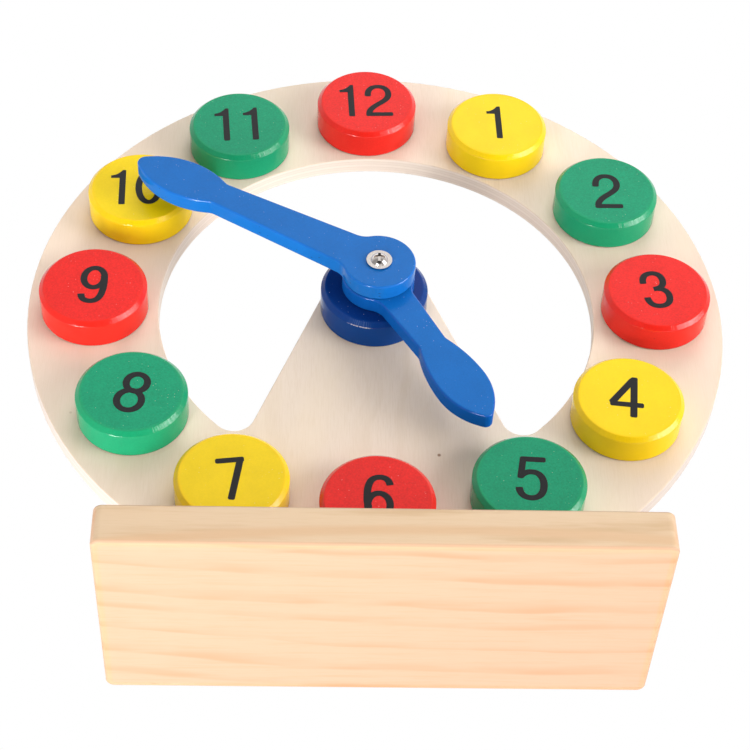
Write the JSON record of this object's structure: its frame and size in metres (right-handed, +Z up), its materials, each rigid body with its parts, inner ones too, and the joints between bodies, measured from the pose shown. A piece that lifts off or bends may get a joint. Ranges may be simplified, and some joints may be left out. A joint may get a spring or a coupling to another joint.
{
  "type": "teaching clock",
  "caption": "Wooden teaching clock that stands on a pine foot: a ring dial with lift-off number blocks and two hands that are turned by hand.",
  "frame": {"origin": "on the surface that the clock stands on, under the middle of the dial plate and of the foot", "axes": "+Z up, the dial faces -Y, +X to the right as seen from the front"},
  "size_m": [0.2088, 0.0682, 0.2147],
  "materials": {
    "pine": "planed pine, bare",
    "plywood": "sanded birch plywood, bare",
    "red_paint": "gloss paint on beech",
    "yellow_paint": "gloss paint on beech",
    "green_paint": "gloss paint on beech",
    "dowel": "bare beech dowel",
    "navy_paint": "gloss paint on beech",
    "blue_paint": "satin paint on plywood",
    "screw_steel": "bright plated steel"
  },
  "bodies": {
    "stand": {"base_block": "pine", "dial_plate": "plywood", "hub_block": "navy_paint", "centre_screw": "screw_steel", "block_peg_1": "dowel", "block_peg_2": "dowel", "block_peg_3": "dowel", "block_peg_4": "dowel", "block_peg_5": "dowel", "block_peg_6": "dowel", "block_peg_7": "dowel", "block_peg_8": "dowel", "block_peg_9": "dowel", "block_peg_10": "dowel", "block_peg_11": "dowel", "block_peg_12": "dowel"},
    "hour_hand": {"hour_hand": "blue_paint"},
    "minute_hand": {"minute_hand": "blue_paint"},
    "number_block_1": {"number_block_1": "yellow_paint"},
    "number_block_2": {"number_block_2": "green_paint"},
    "number_block_3": {"number_block_3": "red_paint"},
    "number_block_4": {"number_block_4": "yellow_paint"},
    "number_block_5": {"number_block_5": "green_paint"},
    "number_block_6": {"number_block_6": "red_paint"},
    "number_block_7": {"number_block_7": "yellow_paint"},
    "number_block_8": {"number_block_8": "green_paint"},
    "number_block_9": {"number_block_9": "red_paint"},
    "number_block_10": {"number_block_10": "yellow_paint"},
    "number_block_11": {"number_block_11": "green_paint"},
    "number_block_12": {"number_block_12": "red_paint"}
  },
  "joints": [
    {"name": "hour_hand_turn", "type": "hinge", "parent": "stand", "child": "hour_hand", "pos_m": [0, 0, 0.1103], "axis": [0, 1, 0], "continuous": true},
    {"name": "minute_hand_turn", "type": "hinge", "parent": "stand", "child": "minute_hand", "pos_m": [0, 0, 0.1103], "axis": [0, 1, 0], "continuous": true},
    {"name": "number_block_1_lift", "type": "slide", "parent": "stand", "child": "number_block_1", "axis": [0, -1, 0], "range_m": [0, 0.005]},
    {"name": "number_block_2_lift", "type": "slide", "parent": "stand", "child": "number_block_2", "axis": [0, -1, 0], "range_m": [0, 0.005]},
    {"name": "number_block_3_lift", "type": "slide", "parent": "stand", "child": "number_block_3", "axis": [0, -1, 0], "range_m": [0, 0.005]},
    {"name": "number_block_4_lift", "type": "slide", "parent": "stand", "child": "number_block_4", "axis": [0, -1, 0], "range_m": [0, 0.005]},
    {"name": "number_block_5_lift", "type": "slide", "parent": "stand", "child": "number_block_5", "axis": [0, -1, 0], "range_m": [0, 0.005]},
    {"name": "number_block_6_lift", "type": "slide", "parent": "stand", "child": "number_block_6", "axis": [0, -1, 0], "range_m": [0, 0.005]},
    {"name": "number_block_7_lift", "type": "slide", "parent": "stand", "child": "number_block_7", "axis": [0, -1, 0], "range_m": [0, 0.005]},
    {"name": "number_block_8_lift", "type": "slide", "parent": "stand", "child": "number_block_8", "axis": [0, -1, 0], "range_m": [0, 0.005]},
    {"name": "number_block_9_lift", "type": "slide", "parent": "stand", "child": "number_block_9", "axis": [0, -1, 0], "range_m": [0, 0.005]},
    {"name": "number_block_10_lift", "type": "slide", "parent": "stand", "child": "number_block_10", "axis": [0, -1, 0], "range_m": [0, 0.005]},
    {"name": "number_block_11_lift", "type": "slide", "parent": "stand", "child": "number_block_11", "axis": [0, -1, 0], "range_m": [0, 0.005]},
    {"name": "number_block_12_lift", "type": "slide", "parent": "stand", "child": "number_block_12", "axis": [0, -1, 0], "range_m": [0, 0.005]}
  ]
}
